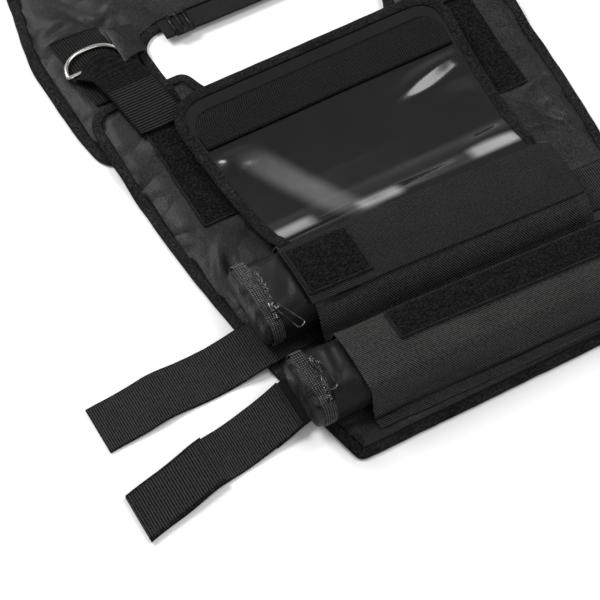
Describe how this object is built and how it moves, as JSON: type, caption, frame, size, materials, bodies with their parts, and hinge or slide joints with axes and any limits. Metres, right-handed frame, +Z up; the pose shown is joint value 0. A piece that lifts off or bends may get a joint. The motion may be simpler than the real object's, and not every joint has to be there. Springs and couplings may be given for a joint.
{
  "type": "weighted vest",
  "caption": "Padded training vest laid open, with weight sleeves and zipped bags, a folded-up cover flap, side straps and ring-adjusted shoulders.",
  "frame": {"origin": "under the front panel, on the vest's centre line, 200 mm from the front hem, at the floor", "axes": "+Y from the front hem over the neck hole to the back hem, +Z up from the floor, +X along the front hem towards the wearer's left"},
  "size_m": [0.7342, 0.965, 0.0546],
  "materials": {
    "cloth": "matt black woven nylon",
    "twill": "matt black twill",
    "binding": "dark olive-grey grosgrain tape with stitching",
    "webbing": "black ribbed polyester webbing",
    "loop_pile": "black brushed loop pile",
    "hook_tape": "black hook tape",
    "film": "soft glossy dark coating",
    "bag_nylon": "smooth black nylon",
    "steel": "bright plated wire with a warm tint",
    "zip_metal": "glossy black lacquer"
  },
  "bodies": {
    "root": {"front_panel": "cloth", "front_binding": "binding", "back_panel": "cloth", "back_binding": "binding", "left_shoulder_loop_strip": "loop_pile", "right_shoulder_loop_strip": "loop_pile", "left_ring_tab": "webbing", "right_ring_tab": "webbing", "left_d_ring": "steel", "right_d_ring": "steel", "left_shoulder_webbing": "webbing", "right_shoulder_webbing": "webbing", "left_ring_keeper": "cloth", "right_ring_keeper": "cloth", "upper_weight_bag": "bag_nylon", "upper_bag_piping": "binding", "upper_sleeve": "twill", "upper_zip": "zip_metal", "upper_zip_slider": "zip_metal", "upper_zip_puller": "zip_metal", "lower_weight_bag": "bag_nylon", "lower_bag_piping": "binding", "lower_sleeve": "twill", "lower_zip": "zip_metal", "lower_zip_slider": "zip_metal", "lower_zip_puller": "zip_metal", "hinge_band": "twill", "upper_loop_patch": "loop_pile", "lower_loop_strip": "loop_pile", "cover_flap": "film", "flap_binding": "binding", "flap_hook_strip": "hook_tape", "left_upper_side_strap": "webbing", "left_lower_strap_root": "webbing", "left_lower_side_strap": "webbing", "left_lower_hook_patch": "webbing", "right_upper_side_strap": "webbing", "right_lower_strap_root": "webbing", "right_lower_side_strap": "webbing", "right_lower_hook_patch": "webbing", "neck_strap": "webbing", "neck_slider": "zip_metal"}
  },
  "joints": []
}
